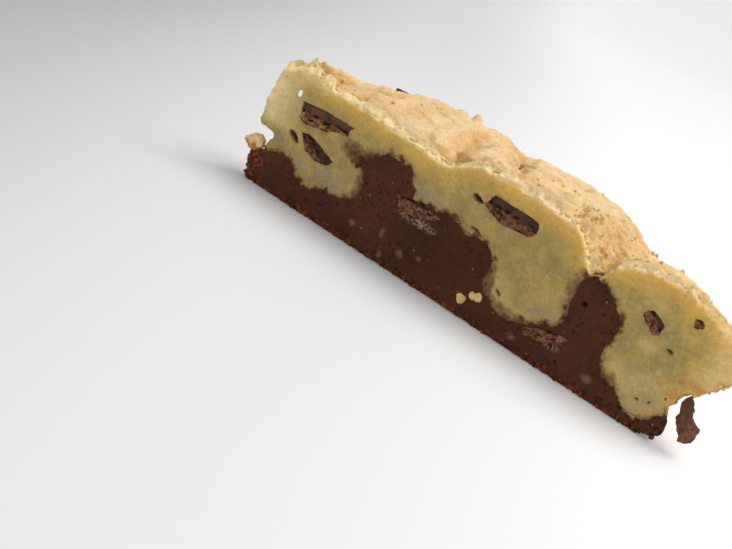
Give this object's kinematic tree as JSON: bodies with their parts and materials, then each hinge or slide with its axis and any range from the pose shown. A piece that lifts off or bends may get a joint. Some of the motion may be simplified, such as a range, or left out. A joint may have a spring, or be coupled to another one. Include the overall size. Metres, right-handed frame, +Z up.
{
  "type": "brookie",
  "caption": "Triangular half of a square brownie-and-cookie bar, cut corner to corner, with marbled layers and chocolate chunks.",
  "frame": {"origin": "middle of the base, at the bottom of the bounding box", "axes": "+X along the long cut face from its left tip to its right tip, -Y out of the cut face, +Z up"},
  "size_m": [0.1171, 0.0516, 0.0306],
  "materials": {
    "brownie": "dark moist brownie crumb",
    "cookie": "pale baked cookie with a peach-tan crust",
    "chocolate": "broken dark chocolate"
  },
  "bodies": {
    "root": {"brownie": "brownie", "brownie_crumb": "brownie", "cookie_dough": "cookie", "tip_crumb": "cookie", "chunk_slab": "chocolate", "chunk_slant": "chocolate", "chunk_middle": "chocolate", "chunk_sunken": "chocolate", "chunk_low": "chocolate", "chunk_right": "chocolate", "chunk_end": "chocolate", "chunk_ridge": "chocolate", "chunk_crust": "chocolate", "chunk_left_side": "chocolate", "chunk_right_side": "chocolate", "chunk_right_low": "chocolate"}
  },
  "joints": []
}
